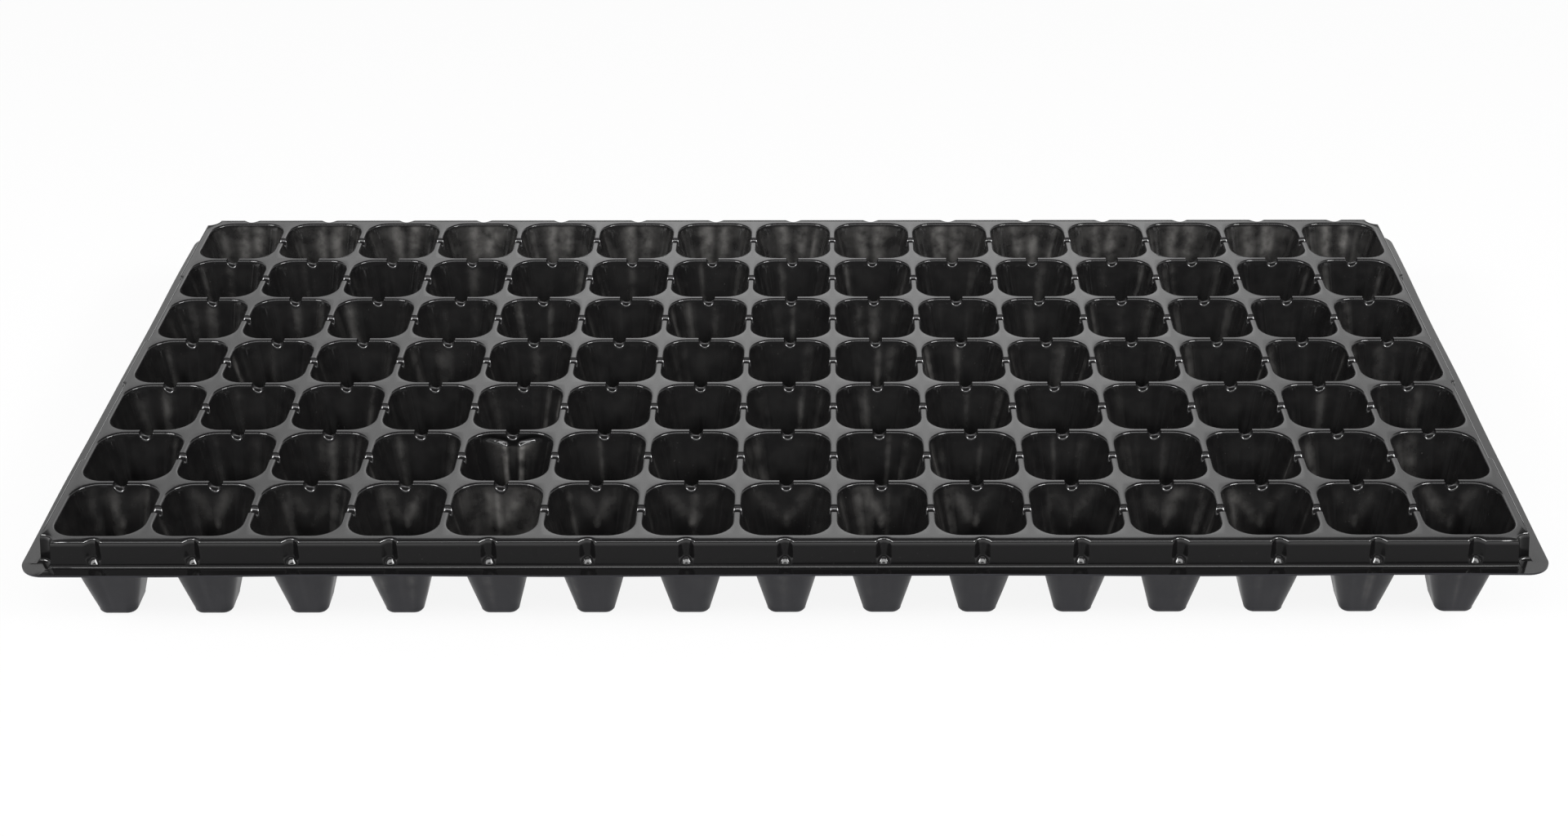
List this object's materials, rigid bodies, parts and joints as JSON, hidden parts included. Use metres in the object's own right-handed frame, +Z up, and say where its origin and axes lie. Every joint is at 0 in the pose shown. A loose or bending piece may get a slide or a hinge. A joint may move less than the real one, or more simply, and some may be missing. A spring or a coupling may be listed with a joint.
{
  "type": "seed tray",
  "caption": "Rectangular black seed-starting tray: a grid of tapered cells with drain holes, vent notches between neighbours, a fluted skirt and a flat flange.",
  "frame": {"origin": "centre of the tray's outline, at the underside of the cell floors", "axes": "+X along the long side to the right in the picture, +Y to the back, +Z up out of the cells' mouths"},
  "size_m": [0.54, 0.28, 0.04],
  "materials": {
    "tray": "satin black drawn sheet, self-coloured"
  },
  "bodies": {
    "root": {"cell_floors": "tray", "cell_front_walls": "tray", "cell_back_walls": "tray", "cell_left_walls": "tray", "cell_right_walls": "tray", "cell_front_left_corners": "tray", "cell_front_right_corners": "tray", "cell_back_left_corners": "tray", "cell_back_right_corners": "tray", "row_webs": "tray", "column_webs": "tray", "web_junctions": "tray", "deck_corners": "tray", "front_margin": "tray", "back_margin": "tray", "left_margin": "tray", "right_margin": "tray", "front_skirt": "tray", "back_skirt": "tray", "left_skirt": "tray", "right_skirt": "tray", "skirt_corners": "tray", "front_flange": "tray", "back_flange": "tray", "left_flange": "tray", "right_flange": "tray", "flange_corners": "tray"}
  },
  "joints": []
}
